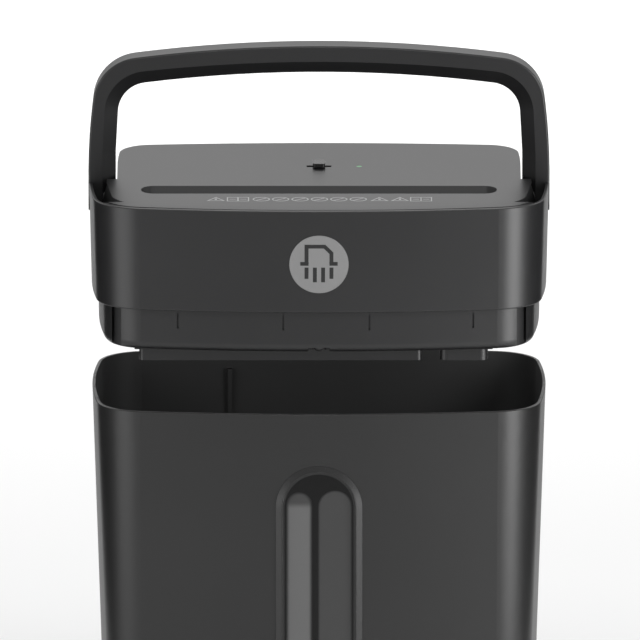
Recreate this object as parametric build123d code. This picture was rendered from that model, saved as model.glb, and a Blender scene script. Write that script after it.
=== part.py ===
from build123d import *
import os
from math import atan2, cos, pi, radians, sin, sqrt, tan

# Paper shredder. Millimetres, +Z up, front towards -Y, origin under the middle of the bin's foot.
# The head stands lifted above the bin, as when the bin is being emptied.

# ---- driving dimensions -------------------------------------------------------------------
BIN_HEIGHT = 300.0
HALF_WIDTH = 146.75         # bin rim, side to side
HALF_DEPTH = 94.5           # bin rim, front to back
SIDE_BOW = 6.9
FRONT_BOW = 12.5
CORNER_RADIUS = 33.0
BIN_DRAFT = tan(radians(1.88))
BIN_WALL = 2.0
BIN_FLOOR = 2.5
FOOT_EDGE = 4.0
RIM_EDGE = 0.7               # small round on the bin's rim
PAD_HEIGHT = 2.0
GAP = 0.3                   # kept between bodies that move past each other
RUNNING = 0.05              # radial clearance of a running fit

HEAD_LIFT = 67.5            # the head at rest, above its seat on the bin's rim
SEAM_Z = BIN_HEIGHT + HEAD_LIFT
SHELL_HEIGHT = 67.2
DECK_Z = SEAM_Z + SHELL_HEIGHT
DECK_RISE = 6.0             # the deck climbs this much from its front edge to its back edge
SEAM_OUT = 0.3              # shell beyond the bin's rim outline at the seam
TOP_OUT = 2.0               # and at the top
WALL = 2.4
RIM_WIDTH = 4.0
SHELL_EDGE = 0.6             # small rounds on the shell's top and seam edges
SEAM_EDGE = 1.0

CASING_IN = 3.9             # lower casing inside the rim outline
CASING_DROP = 27.8
CASING_EDGE = 6.0
LAP = 7.5                   # lower casing's wall inside the shell
FLOOR = 2.5
FLOOR_Z = SEAM_Z - CASING_DROP

PIVOT_Y = -3.0
PIVOT_Z = SEAM_Z + 56.1
HUB_RADIUS = 9.0
HANDLE_DEPTH = 2 * HUB_RADIUS
HANDLE_RISE = 101.2         # handle top above its pivot
HANDLE_HALF = 149.0
HANDLE_INSIDE = 131.3
HANDLE_GRIP = 18.8          # height of the grip's section at the middle
HANDLE_EDGE = 1.2
OUTER_SHOULDER = (7.2, 11.0)    # how far the arch has come in, and down, at its outer shoulders
INNER_SHOULDER = (2.3, 9.3)
OUTER_CORNER = 31.0
INNER_CORNER = 19.7
HANDLE_PIN_RADIUS = 4.0
TROUGH_Z = PIVOT_Z - HUB_RADIUS - 1.0
TROUGH_FRONT = PIVOT_Y - HUB_RADIUS - 1.5
SCOOP = 10.0                # round-over where the deck drops into the trough
GROOVE_END = 24.0           # the corner groove runs out this far behind the front edge
GROOVE_WIDE = 12.0
GROOVE_RIM = 2.1            # shell rim left outside the groove
PLATFORM_HALF = 130.4
PLATFORM_BACK = 76.5
PLATFORM_BOW = 6.0
PLATFORM_RADIUS = 21.0

SLOT_FRONT = -50.0
SLOT_GAP = 5.0
SLOT_HALF = 111.0
FUNNEL_HALF = 115.0
FUNNEL_DEPTH = 17.0
FUNNEL_OPEN = 20.0

SHAFT_Z = SEAM_Z + 17.5
SHAFT_SPAN = 28.0           # between the two cutter shafts
CUT_Y = SLOT_FRONT + SLOT_GAP / 2 - 1.5
FRONT_Y = CUT_Y - SHAFT_SPAN / 2
REAR_Y = CUT_Y + SHAFT_SPAN / 2
SHAFT_RADIUS = 6.0
CORE_RADIUS = 10.5
DISC_RADIUS = 17.0
DISC_THICK = 2.4
DISC_PITCH = 6.0
DISC_COUNT = 36
DISC_TEETH = 8
CUT_START = -108.0
PLATE_THICK = 3.0
PLATE_FRONT = -75.5
LEFT_PLATE_X = -118.0
GEAR_PLATE_X = 112.0
BUSH_RADIUS = 9.0

MOTOR_RADIUS = 25.0
MOTOR_SHAFT_RADIUS = 2.5
PRESSURE_ANGLE = radians(25)
ADDENDUM = 0.8
DEDENDUM = 1.25
BACKLASH = 0.12             # taken off each flank
PINION_TEETH = 12
GEAR_1_TEETH = 48
GEAR_1_SMALL = 14
GEAR_2_TEETH = 44
GEAR_2_SMALL = 10
FINAL_TEETH = 31
SYNC_TEETH = 20
FINE = 1.0                  # gear module of the first two stages
COARSE = 1.5                # and of the last
SYNC_MODULE = SHAFT_SPAN / SYNC_TEETH
GEAR_WIDTH = 5.5
GEAR_STEP = 6.5
GEAR_AXLE_RADIUS = 2.5
GEAR_1_Y = 18.0

WINDOW_HALF = 27.9
WINDOW_TOP = BIN_HEIGHT - 34.2
WINDOW_LENGTH = 205.0
WINDOW_LINE = 24.2          # half-width of the step in the bezel
PANE_HALF = 22.3
PANE_LAP = 2.0              # bezel sleeve round the pane, and the opening in the bin for it
BEZEL_EDGE = 0.15           # bezel above the bin's skin at its outer edge
BEZEL_CREST = 1.55          # and at the step

CHUTE_LEFT = -116.0
CHUTE_RIGHT = 66.3
CHUTE_FRONT = -70.0
CHUTE_BACK = -26.0
CHUTE_WALL = 2.0
CHUTE_END = (78.0, 109.0)   # the skirt's separate end
CHUTE_DROP = 9.3
KEY_X = -58.0               # keying rib on the bin's back wall
EMBLEM_RADIUS = 19.2
EMBLEM_Z = SEAM_Z + 32.3
EMBLEM_DEEP = 0.8           # pocket in the shell
EMBLEM_PROUD = 0.2
PLUNGER_RADIUS = 4.4
PLUNGER_Y = -82.5

TIE_RADIUS = 3.0
TIE_OUT = 23.5
TIE_UP = 20.0
TIE_PLACES = [(CUT_Y + side * TIE_OUT, SHAFT_Z + up * TIE_UP) for side in (-1, 1) for up in (-1, 1)]

# gear centres: the second gear sits where both of its meshes are at their right distance
MOTOR_Y = GEAR_1_Y + (PINION_TEETH + GEAR_1_TEETH) * FINE / 2
GEAR_1_PLACE = (GEAR_1_Y, SHAFT_Z)
REAR_PLACE = (REAR_Y, SHAFT_Z)
MOTOR_PLACE = (MOTOR_Y, SHAFT_Z)
REACH_1 = (GEAR_1_SMALL + GEAR_2_TEETH) * FINE / 2
REACH_2 = (GEAR_2_SMALL + FINAL_TEETH) * COARSE / 2
SPAN = GEAR_1_Y - REAR_Y
ALONG = (SPAN ** 2 + REACH_1 ** 2 - REACH_2 ** 2) / (2 * SPAN)
GEAR_2_PLACE = (GEAR_1_Y - ALONG, SHAFT_Z - sqrt(REACH_1 ** 2 - ALONG ** 2))
GEAR_START = GEAR_PLATE_X + PLATE_THICK + 1
GEAR_HUB = 5.0
SYNC_WIDTH = 4.5
SYNC_START = LEFT_PLATE_X - 1 - SYNC_WIDTH

MOTOR_LEFT = -55.0
MOTOR_RIGHT = GEAR_PLATE_X - 5
CAN_WALL = 1.6
NOSE_RADIUS = 9.0           # round noses at both ends of the motor
BOARD_Z = FLOOR_Z + FLOOR + 8
BOARD_THICK = 1.6
BOARD_X = (-128.0, -86.0)
BOARD_Y = (-10.0, 62.0)

GLAND_X = -88.0
GLAND_Z = SEAM_Z + 22.0
GLAND_RADIUS = 7.0
CORD_RADIUS = 3.6
SCREW_PLACES = [(132, 35), (-132, 35), (75, 78), (-75, 78)]
SCREW_LAND = FLOOR_Z + 12
SCREW_RADIUS = 1.6
BOSS_RADIUS = 4.0
SWITCH_Y = 18.0
SWITCH_TOP = DECK_Z + DECK_RISE * 0.64      # the deck's height at the switch
SWITCH_SLOT = 16.0
LIGHT_X = 26.0
LIGHT_RADIUS = 1.8
FAR = 60.0                  # long enough for a cut to pass right through a wall


# ---- shared shapes ------------------------------------------------------------------------
def pillow(z, out=0.0):
    """The plan outline: four bowed sides with round corners, grown by out."""
    a = HALF_WIDTH + out
    b = HALF_DEPTH + out
    cx = a - SIDE_BOW
    cy = b - FRONT_BOW
    sides = [
        ThreePointArc((-cx, -cy), (0, -b), (cx, -cy)),
        ThreePointArc((cx, -cy), (a, 0), (cx, cy)),
        ThreePointArc((cx, cy), (0, b), (-cx, cy)),
        ThreePointArc((-cx, cy), (-a, 0), (-cx, -cy)),
    ]
    face = make_face(sides)
    return Pos(0, 0, z) * fillet(face.vertices(), CORNER_RADIUS + out)


def tapered(z0, out0, z1, out1):
    """A solid between two plan outlines."""
    return loft([pillow(z0, out0), pillow(z1, out1)], ruled=True)


def box(x, y, z):
    """A box from three (low, high) pairs."""
    size = (x[1] - x[0], y[1] - y[0], z[1] - z[0])
    return Pos((x[0] + x[1]) / 2, (y[0] + y[1]) / 2, (z[0] + z[1]) / 2) * Box(*size)


def rod(x0, x1, y, z, radius):
    """A round bar along X."""
    return extrude(across(x0, y, z) * Circle(radius), x1 - x0)


def across(x, y=0.0, z=0.0):
    """A plane square to X whose own axes are Y and Z."""
    return Plane(origin=(x, y, z), x_dir=(0, 1, 0), z_dir=(1, 0, 0))


def upright(y):
    """A plane square to Y, facing the front, whose own axes are X and Z."""
    return Plane(origin=(0, y, 0), x_dir=(1, 0, 0), z_dir=(0, -1, 0))


def post(x, y, z0, z1, radius):
    """A round bar along Z."""
    return Pos(x, y, (z0 + z1) / 2) * Cylinder(radius, z1 - z0)


def bin_out(z):
    """How far the bin's outside is from its rim outline at a height."""
    return -(BIN_HEIGHT - z) * BIN_DRAFT


def shell_out(z):
    """The same for the head shell."""
    return SEAM_OUT + (TOP_OUT - SEAM_OUT) * (z - SEAM_Z) / SHELL_HEIGHT


def bin_skin(out, z0, z1):
    return tapered(z0, bin_out(z0) + out, z1, bin_out(z1) + out)


def shell_skin(out, z0, z1):
    return tapered(z0, shell_out(z0) + out, z1, shell_out(z1) + out)


def lowest(solid):
    return solid.edges().group_by(Axis.Z)[0]


def highest(solid):
    return solid.edges().group_by(Axis.Z)[-1]


def window_shape(half):
    """The window's long round-ended outline, at a half-width, centred on the origin."""
    inset = WINDOW_HALF - half
    return SlotOverall(WINDOW_LENGTH - 2 * inset, half * 2, rotation=90)


def window_prism(half):
    """A prism of that outline through the bin's front."""
    middle = WINDOW_TOP - WINDOW_LENGTH / 2
    return extrude(upright(-HALF_DEPTH + FAR / 2) * Pos(0, middle) * window_shape(half), FAR)


# ---- bin ----------------------------------------------------------------------------------
def bin_shell():
    body = bin_skin(0, PAD_HEIGHT, BIN_HEIGHT)
    body = fillet(lowest(body), FOOT_EDGE)
    body = fillet(highest(body), RIM_EDGE)
    cavity = bin_skin(-BIN_WALL, PAD_HEIGHT + BIN_FLOOR, BIN_HEIGHT)
    body -= fillet(lowest(cavity), FOOT_EDGE - 1)
    pads = []
    for x in (-98, 98):
        for y in (-52, 52):
            pads.append(Pos(x, y, PAD_HEIGHT / 2 + 0.1) * Cylinder(11, PAD_HEIGHT + 0.2))
    rib_back = HALF_DEPTH - BIN_WALL
    rib = box((KEY_X - 1.3, KEY_X + 1.3), (rib_back - 6, rib_back), (60, BIN_HEIGHT - 12.5))
    tab_top = FLOOR_Z - HEAD_LIFT - GAP
    tab = box((-2, 2), (-HALF_DEPTH + 1.2, PLUNGER_Y + 2), (tab_top - 45, tab_top))
    inside = bin_skin(-BIN_WALL + 0.5, PAD_HEIGHT, BIN_HEIGHT)
    body += pads
    body += (rib & inside)
    body += (tab & inside)
    return body - window_prism(PANE_HALF + PANE_LAP)


def window_band(half, out_face, in_face):
    """The part of that prism between two offsets of the bin's drafted skin."""
    z0 = WINDOW_TOP - WINDOW_LENGTH - 6
    z1 = WINDOW_TOP + 6
    return window_prism(half) & (bin_skin(out_face, z0, z1) - bin_skin(in_face, z0, z1))


def on_skin(level):
    """A plane that leans with the bin's front at the window, a level above the skin."""
    middle = WINDOW_TOP - WINDOW_LENGTH / 2
    lean = atan2(BIN_DRAFT, 1)
    normal = (0, -cos(lean), -sin(lean))
    y = -HALF_DEPTH - bin_out(middle) - level
    return Plane(origin=(0, y, middle), x_dir=(1, 0, 0), z_dir=normal)


def window_bezel():
    """A ring that climbs from the bin's skin to a crest, then steps down to the pane."""
    slope = loft([
        on_skin(BEZEL_EDGE) * window_shape(WINDOW_HALF),
        on_skin(BEZEL_CREST) * window_shape(WINDOW_LINE),
    ], ruled=True)
    root = extrude(on_skin(BEZEL_EDGE) * window_shape(WINDOW_HALF), -3)
    under = bin_skin(0, WINDOW_TOP - WINDOW_LENGTH - 6, WINDOW_TOP + 6)
    flange = slope + root - under
    sleeve = window_band(PANE_HALF + PANE_LAP, 0.1, -BIN_WALL - 1.5)
    step = window_band(WINDOW_LINE - 0.4, 3, 0.5)
    return flange + sleeve - step - window_prism(PANE_HALF)


def window_pane():
    return window_band(PANE_HALF, -0.6, -2.6)


# ---- head covers --------------------------------------------------------------------------
def deck_top(z_shift=0.0):
    """Everything under the deck's gently climbing top."""
    side = [
        (-HALF_DEPTH - 10, SEAM_Z - 40),
        (-HALF_DEPTH - 10, DECK_Z + z_shift),
        (-HALF_DEPTH + 18, DECK_Z + z_shift + 0.4),
        (PLATFORM_BACK, DECK_Z + DECK_RISE + z_shift),
        (HALF_DEPTH + 10, DECK_Z + DECK_RISE + z_shift),
        (HALF_DEPTH + 10, SEAM_Z - 40),
    ]
    profile = across(-HALF_WIDTH - 10) * make_face(Polyline(*side, close=True))
    return extrude(profile, 2 * HALF_WIDTH + 20)


def platform(out=0.0, z0=TROUGH_Z - 30, z1=DECK_Z + 12):
    """The raised middle of the deck, which the folded handle lies around."""
    a = PLATFORM_HALF + out
    b = PLATFORM_BACK + out
    front = -HALF_DEPTH - 20
    outline = [
        Line((-a, front), (a, front)),
        Line((a, front), (a, 20)),
        ThreePointArc((a, 20), (a - 0.6, 45), (a - 3, b - PLATFORM_BOW)),
        ThreePointArc((a - 3, b - PLATFORM_BOW), (0, b), (-a + 3, b - PLATFORM_BOW)),
        ThreePointArc((-a + 3, b - PLATFORM_BOW), (-a + 0.6, 45), (-a, 20)),
        Line((-a, 20), (-a, front)),
    ]
    face = make_face(outline)
    back_corners = face.vertices().filter_by_position(Axis.Y, b - PLATFORM_BOW - 1, b - PLATFORM_BOW + 1)
    face = fillet(back_corners, PLATFORM_RADIUS + out)
    return extrude(Pos(0, 0, z0) * face, z1 - z0)


def yz_prism(points, half=HALF_WIDTH + 10):
    """A long prism along X over an outline given as (Y, Z) points."""
    profile = across(-half) * make_face(Polyline(*points, close=True))
    return extrude(profile, 2 * half)


def trough(grow=0.0):
    """The space around the platform where the handle turns and lies folded."""
    top = DECK_Z + 12
    low = TROUGH_Z - grow
    front = TROUGH_FRONT - grow
    space = box((-HALF_WIDTH - 10, HALF_WIDTH + 10), (front, HALF_DEPTH + 20), (low, top))
    round_top = across(-HALF_WIDTH - 10) * make_face([
        ThreePointArc((front, DECK_Z - SCOOP), (front - SCOOP * 0.3, DECK_Z - SCOOP * 0.3),
                      (front - SCOOP, DECK_Z + 0.5)),
        Line((front - SCOOP, DECK_Z + 0.5), (front, DECK_Z + 0.5)),
        Line((front, DECK_Z + 0.5), (front, DECK_Z - SCOOP)),
    ])
    space += extrude(round_top, 2 * HALF_WIDTH + 20)
    return space - platform(-grow)


def corner_groove(grow=0.0):
    """The groove between the deck and the shell's rim. It is deep beside the handle's feet
    and runs out to nothing at the front."""
    front = -HALF_DEPTH + GROOVE_END
    above = yz_prism([
        (TROUGH_FRONT + 1, TROUGH_Z - grow),
        (TROUGH_FRONT + 1, DECK_Z + 12),
        (front - grow, DECK_Z + 12),
        (front - grow, DECK_Z - 0.5),
    ])
    core = loft([
        pillow(TROUGH_Z - 6, shell_out(TROUGH_Z) - RIM_WIDTH - 2 - grow),
        pillow(DECK_Z + 6, shell_out(DECK_Z) - GROOVE_WIDE - grow),
    ], ruled=True)
    return (above & shell_skin(-GROOVE_RIM, TROUGH_Z - 6, DECK_Z + 6)) - core


def head_shell():
    body = shell_skin(0, SEAM_Z, DECK_Z)
    body = fillet(highest(body), SHELL_EDGE)
    body = fillet(lowest(body), SEAM_EDGE)
    body -= shell_skin(-WALL, SEAM_Z, DECK_Z - 9)
    body -= shell_skin(-RIM_WIDTH, DECK_Z - 9.01, DECK_Z)
    behind = box((-200, 200), (TROUGH_FRONT, 200), (TROUGH_Z, DECK_Z + 10))
    body -= behind
    body -= corner_groove()
    emblem_pocket = extrude(upright(-HALF_DEPTH + FAR / 2) * Pos(0, EMBLEM_Z) * Circle(EMBLEM_RADIUS), FAR)
    body -= emblem_pocket - shell_skin(-EMBLEM_DEEP, SEAM_Z, DECK_Z)
    return body - extrude(gland_plane() * Circle(GLAND_RADIUS), FAR)


def gland_plane():
    """A plane inside the head that faces the back, centred on the cord's way out."""
    return Plane(origin=(GLAND_X, HALF_DEPTH - FAR / 2, GLAND_Z), z_dir=(0, 1, 0))


def funnel():
    """The feed slot with its sloping back lip."""
    top_z = DECK_Z + 3
    low_z = DECK_Z - FUNNEL_DEPTH
    wide = Rectangle(2 * FUNNEL_HALF, FUNNEL_OPEN)
    wide = fillet(wide.vertices(), 9)
    narrow = Rectangle(2 * SLOT_HALF, SLOT_GAP)
    narrow = fillet(narrow.vertices(), 2)
    upper = loft([
        Pos(0, SLOT_FRONT + SLOT_GAP / 2, low_z) * narrow,
        Pos(0, SLOT_FRONT + FUNNEL_OPEN / 2, top_z) * wide,
    ])
    through = extrude(Pos(0, SLOT_FRONT + SLOT_GAP / 2, low_z - 20) * narrow, 21)
    return upper + through


def deck_cover():
    low = TROUGH_Z - WALL
    solid = shell_skin(-RIM_WIDTH, low, DECK_Z + 6) & deck_top()
    solid -= trough()
    solid -= corner_groove()
    hollow = shell_skin(-RIM_WIDTH - WALL, low - 5, DECK_Z + 6) & deck_top(-WALL)
    hollow -= trough(WALL)
    hollow -= corner_groove(WALL)
    solid -= hollow
    guide = box((-SLOT_HALF - WALL, SLOT_HALF + WALL), (SLOT_FRONT - WALL, SLOT_FRONT + SLOT_GAP + WALL),
                (DECK_Z - FUNNEL_DEPTH - 6.5, DECK_Z))
    back_slope = loft([
        Pos(0, SLOT_FRONT + SLOT_GAP / 2, DECK_Z - FUNNEL_DEPTH) * Rectangle(
            2 * SLOT_HALF + 2 * WALL, SLOT_GAP + 2 * WALL),
        Pos(0, SLOT_FRONT + FUNNEL_OPEN / 2, DECK_Z) * Rectangle(
            2 * FUNNEL_HALF + 2 * WALL, FUNNEL_OPEN + 2 * WALL),
    ])
    solid += guide & deck_top()
    solid += back_slope & deck_top()
    for x, y in SCREW_PLACES:
        solid += post(x, y, SCREW_LAND, low + 1, BOSS_RADIUS)
    for side in (-1, 1):
        inner = side * (PLATFORM_HALF - 14)
        outer = side * PLATFORM_HALF
        solid += rod(min(inner, outer), max(inner, outer), PIVOT_Y, PIVOT_Z, HANDLE_PIN_RADIUS + 3)
    solid -= funnel()
    for x, y in SCREW_PLACES:
        solid -= post(x, y, SCREW_LAND - 1, SCREW_LAND + 12, SCREW_RADIUS)
    for side in (-1, 1):
        inner = side * (PLATFORM_HALF - 14.5)
        outer = side * (PLATFORM_HALF + 1)
        solid -= rod(min(inner, outer), max(inner, outer), PIVOT_Y, PIVOT_Z, HANDLE_PIN_RADIUS + RUNNING)
    solid -= box((-SWITCH_SLOT / 2, SWITCH_SLOT / 2), (SWITCH_Y - 2, SWITCH_Y + 2), (DECK_Z - 6, DECK_Z + 9))
    solid -= post(LIGHT_X, SWITCH_Y, DECK_Z - 10, DECK_Z + 9, LIGHT_RADIUS)
    return solid


def lower_casing():
    lap_top = SEAM_Z + LAP
    body = tapered(FLOOR_Z, -CASING_IN - 0.5, SEAM_Z, -CASING_IN)
    body = fillet(body.edges().group_by(Axis.Z)[0], CASING_EDGE)
    body += tapered(SEAM_Z, -CASING_IN, lap_top, -CASING_IN)
    hollow = tapered(FLOOR_Z + FLOOR, -CASING_IN - WALL - 0.5, lap_top, -CASING_IN - WALL)
    body -= fillet(hollow.edges().group_by(Axis.Z)[0], CASING_EDGE - WALL)
    for x in (-91.0, -23.0, 32.5, 99.4):
        slot = box((x - 0.6, x + 0.6), (-HALF_DEPTH, -HALF_DEPTH + 25), (SEAM_Z - 12.6, SEAM_Z - 2.6))
        body -= slot - tapered(FLOOR_Z, -CASING_IN - 1.7, SEAM_Z, -CASING_IN - 1.2)
    groove_keep = tapered(FLOOR_Z - 1, -CASING_IN - 2.2, SEAM_Z + 1, -CASING_IN - 1.7)
    for side in (-1, 1):
        x0, x1 = sorted((side * 127.5, side * 133.5))
        groove = box((x0, x1), (-HALF_DEPTH, -40), (FLOOR_Z - 1, SEAM_Z))
        body -= groove - groove_keep
    key_slot = box((KEY_X - 4, KEY_X + 4), (HALF_DEPTH - 12, HALF_DEPTH), (FLOOR_Z - 1, FLOOR_Z + 18))
    body -= key_slot
    key_wall = box((KEY_X - 6, KEY_X + 6), (HALF_DEPTH - 14, HALF_DEPTH - 12), (FLOOR_Z, FLOOR_Z + 20))
    key_roof = box((KEY_X - 6, KEY_X + 6), (HALF_DEPTH - 14, HALF_DEPTH - 6), (FLOOR_Z + 18, FLOOR_Z + 20))
    body += [key_wall, key_roof]
    body -= chute_opening(FLOOR_Z - 1, FLOOR_Z + 4)
    for x, y in SCREW_PLACES:
        body += post(x, y, FLOOR_Z + 1, SCREW_LAND, BOSS_RADIUS)
        body -= post(x, y, FLOOR_Z - 1, SCREW_LAND + 1, SCREW_RADIUS)
        body -= post(x, y, FLOOR_Z - 1, FLOOR_Z + 5, SCREW_RADIUS * 2)
    sleeve_top = FLOOR_Z + 9
    body += post(0, PLUNGER_Y, FLOOR_Z + 0.5, sleeve_top, PLUNGER_RADIUS + 1.6)
    notch = box((-7, 7), (PLUNGER_Y - 20, PLUNGER_Y), (FLOOR_Z - 1, FLOOR_Z + 3.5))
    body -= notch
    return body - post(0, PLUNGER_Y, FLOOR_Z - 1, sleeve_top + 1, PLUNGER_RADIUS + GAP)


def chute_opening(z0, z1):
    """The way out under the cutters, inside the skirt's wall."""
    return box((CHUTE_LEFT + CHUTE_WALL, CHUTE_RIGHT - CHUTE_WALL),
               (CHUTE_FRONT + CHUTE_WALL, CHUTE_BACK - CHUTE_WALL), (z0, z1))


def exit_skirt():
    low = FLOOR_Z - CHUTE_DROP
    flange = box((CHUTE_LEFT - 3, 112), (CHUTE_FRONT - 2, CHUTE_BACK + 3), (FLOOR_Z - 1.6, FLOOR_Z))
    main = box((CHUTE_LEFT, CHUTE_RIGHT), (CHUTE_FRONT, CHUTE_BACK), (low, FLOOR_Z))
    main = fillet(main.edges().filter_by(Axis.Z), 3)
    end = box(CHUTE_END, (CHUTE_FRONT, CHUTE_FRONT + 20), (low, FLOOR_Z))
    end = fillet(end.edges().filter_by(Axis.Z), 5)
    body = flange + main + end
    opening = chute_opening(low - 1, FLOOR_Z + 1)
    pocket = box((CHUTE_END[0] + 2.5, CHUTE_END[1] - 2.5), (CHUTE_FRONT + 2.5, CHUTE_FRONT + 17.5),
                 (low - 1, FLOOR_Z - 3))
    return body - opening - pocket


def front_emblem():
    disc = extrude(upright(-HALF_DEPTH + FAR / 2) * Pos(0, EMBLEM_Z) * Circle(EMBLEM_RADIUS - 0.1), FAR)
    return disc & (shell_skin(EMBLEM_PROUD, SEAM_Z, DECK_Z) - shell_skin(-EMBLEM_DEEP, SEAM_Z, DECK_Z))


def cord_gland():
    barrel = extrude(gland_plane() * Circle(GLAND_RADIUS), FAR)
    barrel = barrel & (shell_skin(0.4, SEAM_Z, DECK_Z) - shell_skin(-WALL - 3, SEAM_Z, DECK_Z))
    return barrel - extrude(gland_plane() * Circle(CORD_RADIUS), FAR)


# ---- handle -------------------------------------------------------------------------------
def arch_inside(out=0.0):
    """The opening of the handle in its own plane, grown by out."""
    foot = PIVOT_Z - 30
    half = HANDLE_INSIDE + out
    top = PIVOT_Z + HANDLE_RISE - HANDLE_GRIP + out
    shoulder = half - INNER_SHOULDER[0]
    low = top - INNER_SHOULDER[1]
    sides = [
        Line((-half, foot), (half, foot)),
        Line((half, foot), (half, PIVOT_Z + 30)),
        Line((half, PIVOT_Z + 30), (shoulder, low)),
        ThreePointArc((shoulder, low), (0, top), (-shoulder, low)),
        Line((-shoulder, low), (-half, PIVOT_Z + 30)),
        Line((-half, PIVOT_Z + 30), (-half, foot)),
    ]
    face = make_face(sides)
    corners = face.vertices().filter_by_position(Axis.Y, low - 1, low + 1)
    return fillet(corners, INNER_CORNER + out)


def arch_outside():
    top = PIVOT_Z + HANDLE_RISE
    foot = PIVOT_Z - HUB_RADIUS
    bend = PIVOT_Z + 20
    waist = (HANDLE_HALF - 1.6, PIVOT_Z + 51)
    shoulder = HANDLE_HALF - OUTER_SHOULDER[0]
    low = top - OUTER_SHOULDER[1]
    sides = [
        Line((-HANDLE_HALF, foot), (HANDLE_HALF, foot)),
        Line((HANDLE_HALF, foot), (HANDLE_HALF, bend)),
        ThreePointArc((HANDLE_HALF, bend), waist, (shoulder, low)),
        ThreePointArc((shoulder, low), (0, top), (-shoulder, low)),
        ThreePointArc((-shoulder, low), (-waist[0], waist[1]), (-HANDLE_HALF, bend)),
        Line((-HANDLE_HALF, bend), (-HANDLE_HALF, foot)),
    ]
    face = make_face(sides)
    corners = face.vertices().filter_by_position(Axis.Y, low - 1, low + 1)
    return fillet(corners, OUTER_CORNER)


def carry_handle():
    front = PIVOT_Y - HUB_RADIUS
    bevel = HUB_RADIUS - 0.4
    body = extrude(upright(front + HANDLE_DEPTH) * arch_outside(), HANDLE_DEPTH)
    faces = body.edges().group_by(Axis.Y)
    body = fillet(faces[0] + faces[-1], HANDLE_EDGE)
    body -= extrude(upright(front + HANDLE_DEPTH + 1) * arch_inside(), HANDLE_DEPTH + 2)
    rear = front + HANDLE_DEPTH
    for wide_y, narrow_y in ((front - 0.01, front + bevel), (rear + 0.01, rear - bevel)):
        body -= loft([upright(wide_y) * arch_inside(bevel), upright(narrow_y) * arch_inside()], ruled=True)
    for side in (-1, 1):
        x0, x1 = sorted((side * (HANDLE_INSIDE + GAP), side * HANDLE_HALF))
        hub = rod(x0, x1, PIVOT_Y, PIVOT_Z, HUB_RADIUS)
        outer_edge = hub.edges().group_by(Axis.X)[0 if side < 0 else -1]
        body += fillet(outer_edge, HANDLE_EDGE)
        low_box = box((x0 - 1, x1 + 1), (front - 1, rear + 1), (PIVOT_Z - HUB_RADIUS - 1, PIVOT_Z))
        body -= low_box - rod(x0 - 1, x1 + 1, PIVOT_Y, PIVOT_Z, HUB_RADIUS)
        pin_end = side * (HANDLE_HALF - 5)
        p0, p1 = sorted((side * (HANDLE_INSIDE - 2), pin_end))
        body -= rod(p0, p1, PIVOT_Y, PIVOT_Z, HANDLE_PIN_RADIUS)
    return body


def handle_pins():
    pins = []
    for side in (-1, 1):
        x0, x1 = sorted((side * (PLATFORM_HALF - 13), side * (HANDLE_HALF - 5)))
        pins.append(rod(x0, x1, PIVOT_Y, PIVOT_Z, HANDLE_PIN_RADIUS))
    return Compound(children=pins)


# ---- cutting unit -------------------------------------------------------------------------
def disc_x(index, rear):
    shift = DISC_PITCH / 2 if rear else 0.0
    return CUT_START + shift + index * DISC_PITCH


def cutter_shaft(y, rear):
    left = LEFT_PLATE_X - 8
    right = GEAR_PLATE_X + PLATE_THICK + (3 * GEAR_STEP + 1 if rear else 1)
    shaft = rod(left, right, y, SHAFT_Z, SHAFT_RADIUS)
    return shaft + rod(LEFT_PLATE_X + PLATE_THICK + 1, GEAR_PLATE_X - 1, y, SHAFT_Z, CORE_RADIUS)


def cutter_discs(y, rear):
    discs = []
    step = 2 * pi / DISC_TEETH
    for index in range(DISC_COUNT):
        x = disc_x(index, rear)
        turn = index * radians(11) * (-1 if rear else 1)
        points = []
        for tooth in range(DISC_TEETH):
            start = turn + tooth * step
            for share, radius in ((0.0, DISC_RADIUS), (0.35, DISC_RADIUS), (0.7, DISC_RADIUS), (0.85, 14.5)):
                angle = start + share * step
                points.append((radius * cos(angle), radius * sin(angle)))
        face = make_face(Polyline(*points, close=True)) - Circle(CORE_RADIUS)
        discs.append(extrude(across(x, y, SHAFT_Z) * face, DISC_THICK))
    return Compound(children=discs)


def plate(x, back):
    """A side plate with the two shaft bores."""
    body = box((x, x + PLATE_THICK), (PLATE_FRONT, back), (FLOOR_Z + FLOOR + 3, TROUGH_Z - WALL - 1))
    for y in (FRONT_Y, REAR_Y):
        body -= rod(x - 1, x + PLATE_THICK + 1, y, SHAFT_Z, BUSH_RADIUS)
    for y, z in TIE_PLACES:
        body -= rod(x - 1, x + PLATE_THICK + 1, y, z, TIE_RADIUS - 1)
    return body


def gear_plate():
    body = plate(GEAR_PLATE_X, 74)
    body -= rod(GEAR_PLATE_X - 1, GEAR_PLATE_X + 10, MOTOR_Y, SHAFT_Z, 8)
    for y, z in (GEAR_1_PLACE, GEAR_2_PLACE):
        body -= rod(GEAR_PLATE_X - 1, GEAR_PLATE_X + 10, y, z, GEAR_AXLE_RADIUS)
    for x, y in SCREW_PLACES:
        body -= post(x, y, FLOOR_Z, DECK_Z, BOSS_RADIUS + 1)
    return body


def tie_rods():
    rods = []
    for y, z in TIE_PLACES:
        bar = rod(LEFT_PLATE_X + PLATE_THICK, GEAR_PLATE_X, y, z, TIE_RADIUS)
        ends = rod(LEFT_PLATE_X - 1, GEAR_PLATE_X + PLATE_THICK + 0.5, y, z, TIE_RADIUS - 1)
        rods.append(bar + ends)
    return Compound(children=rods)


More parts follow.
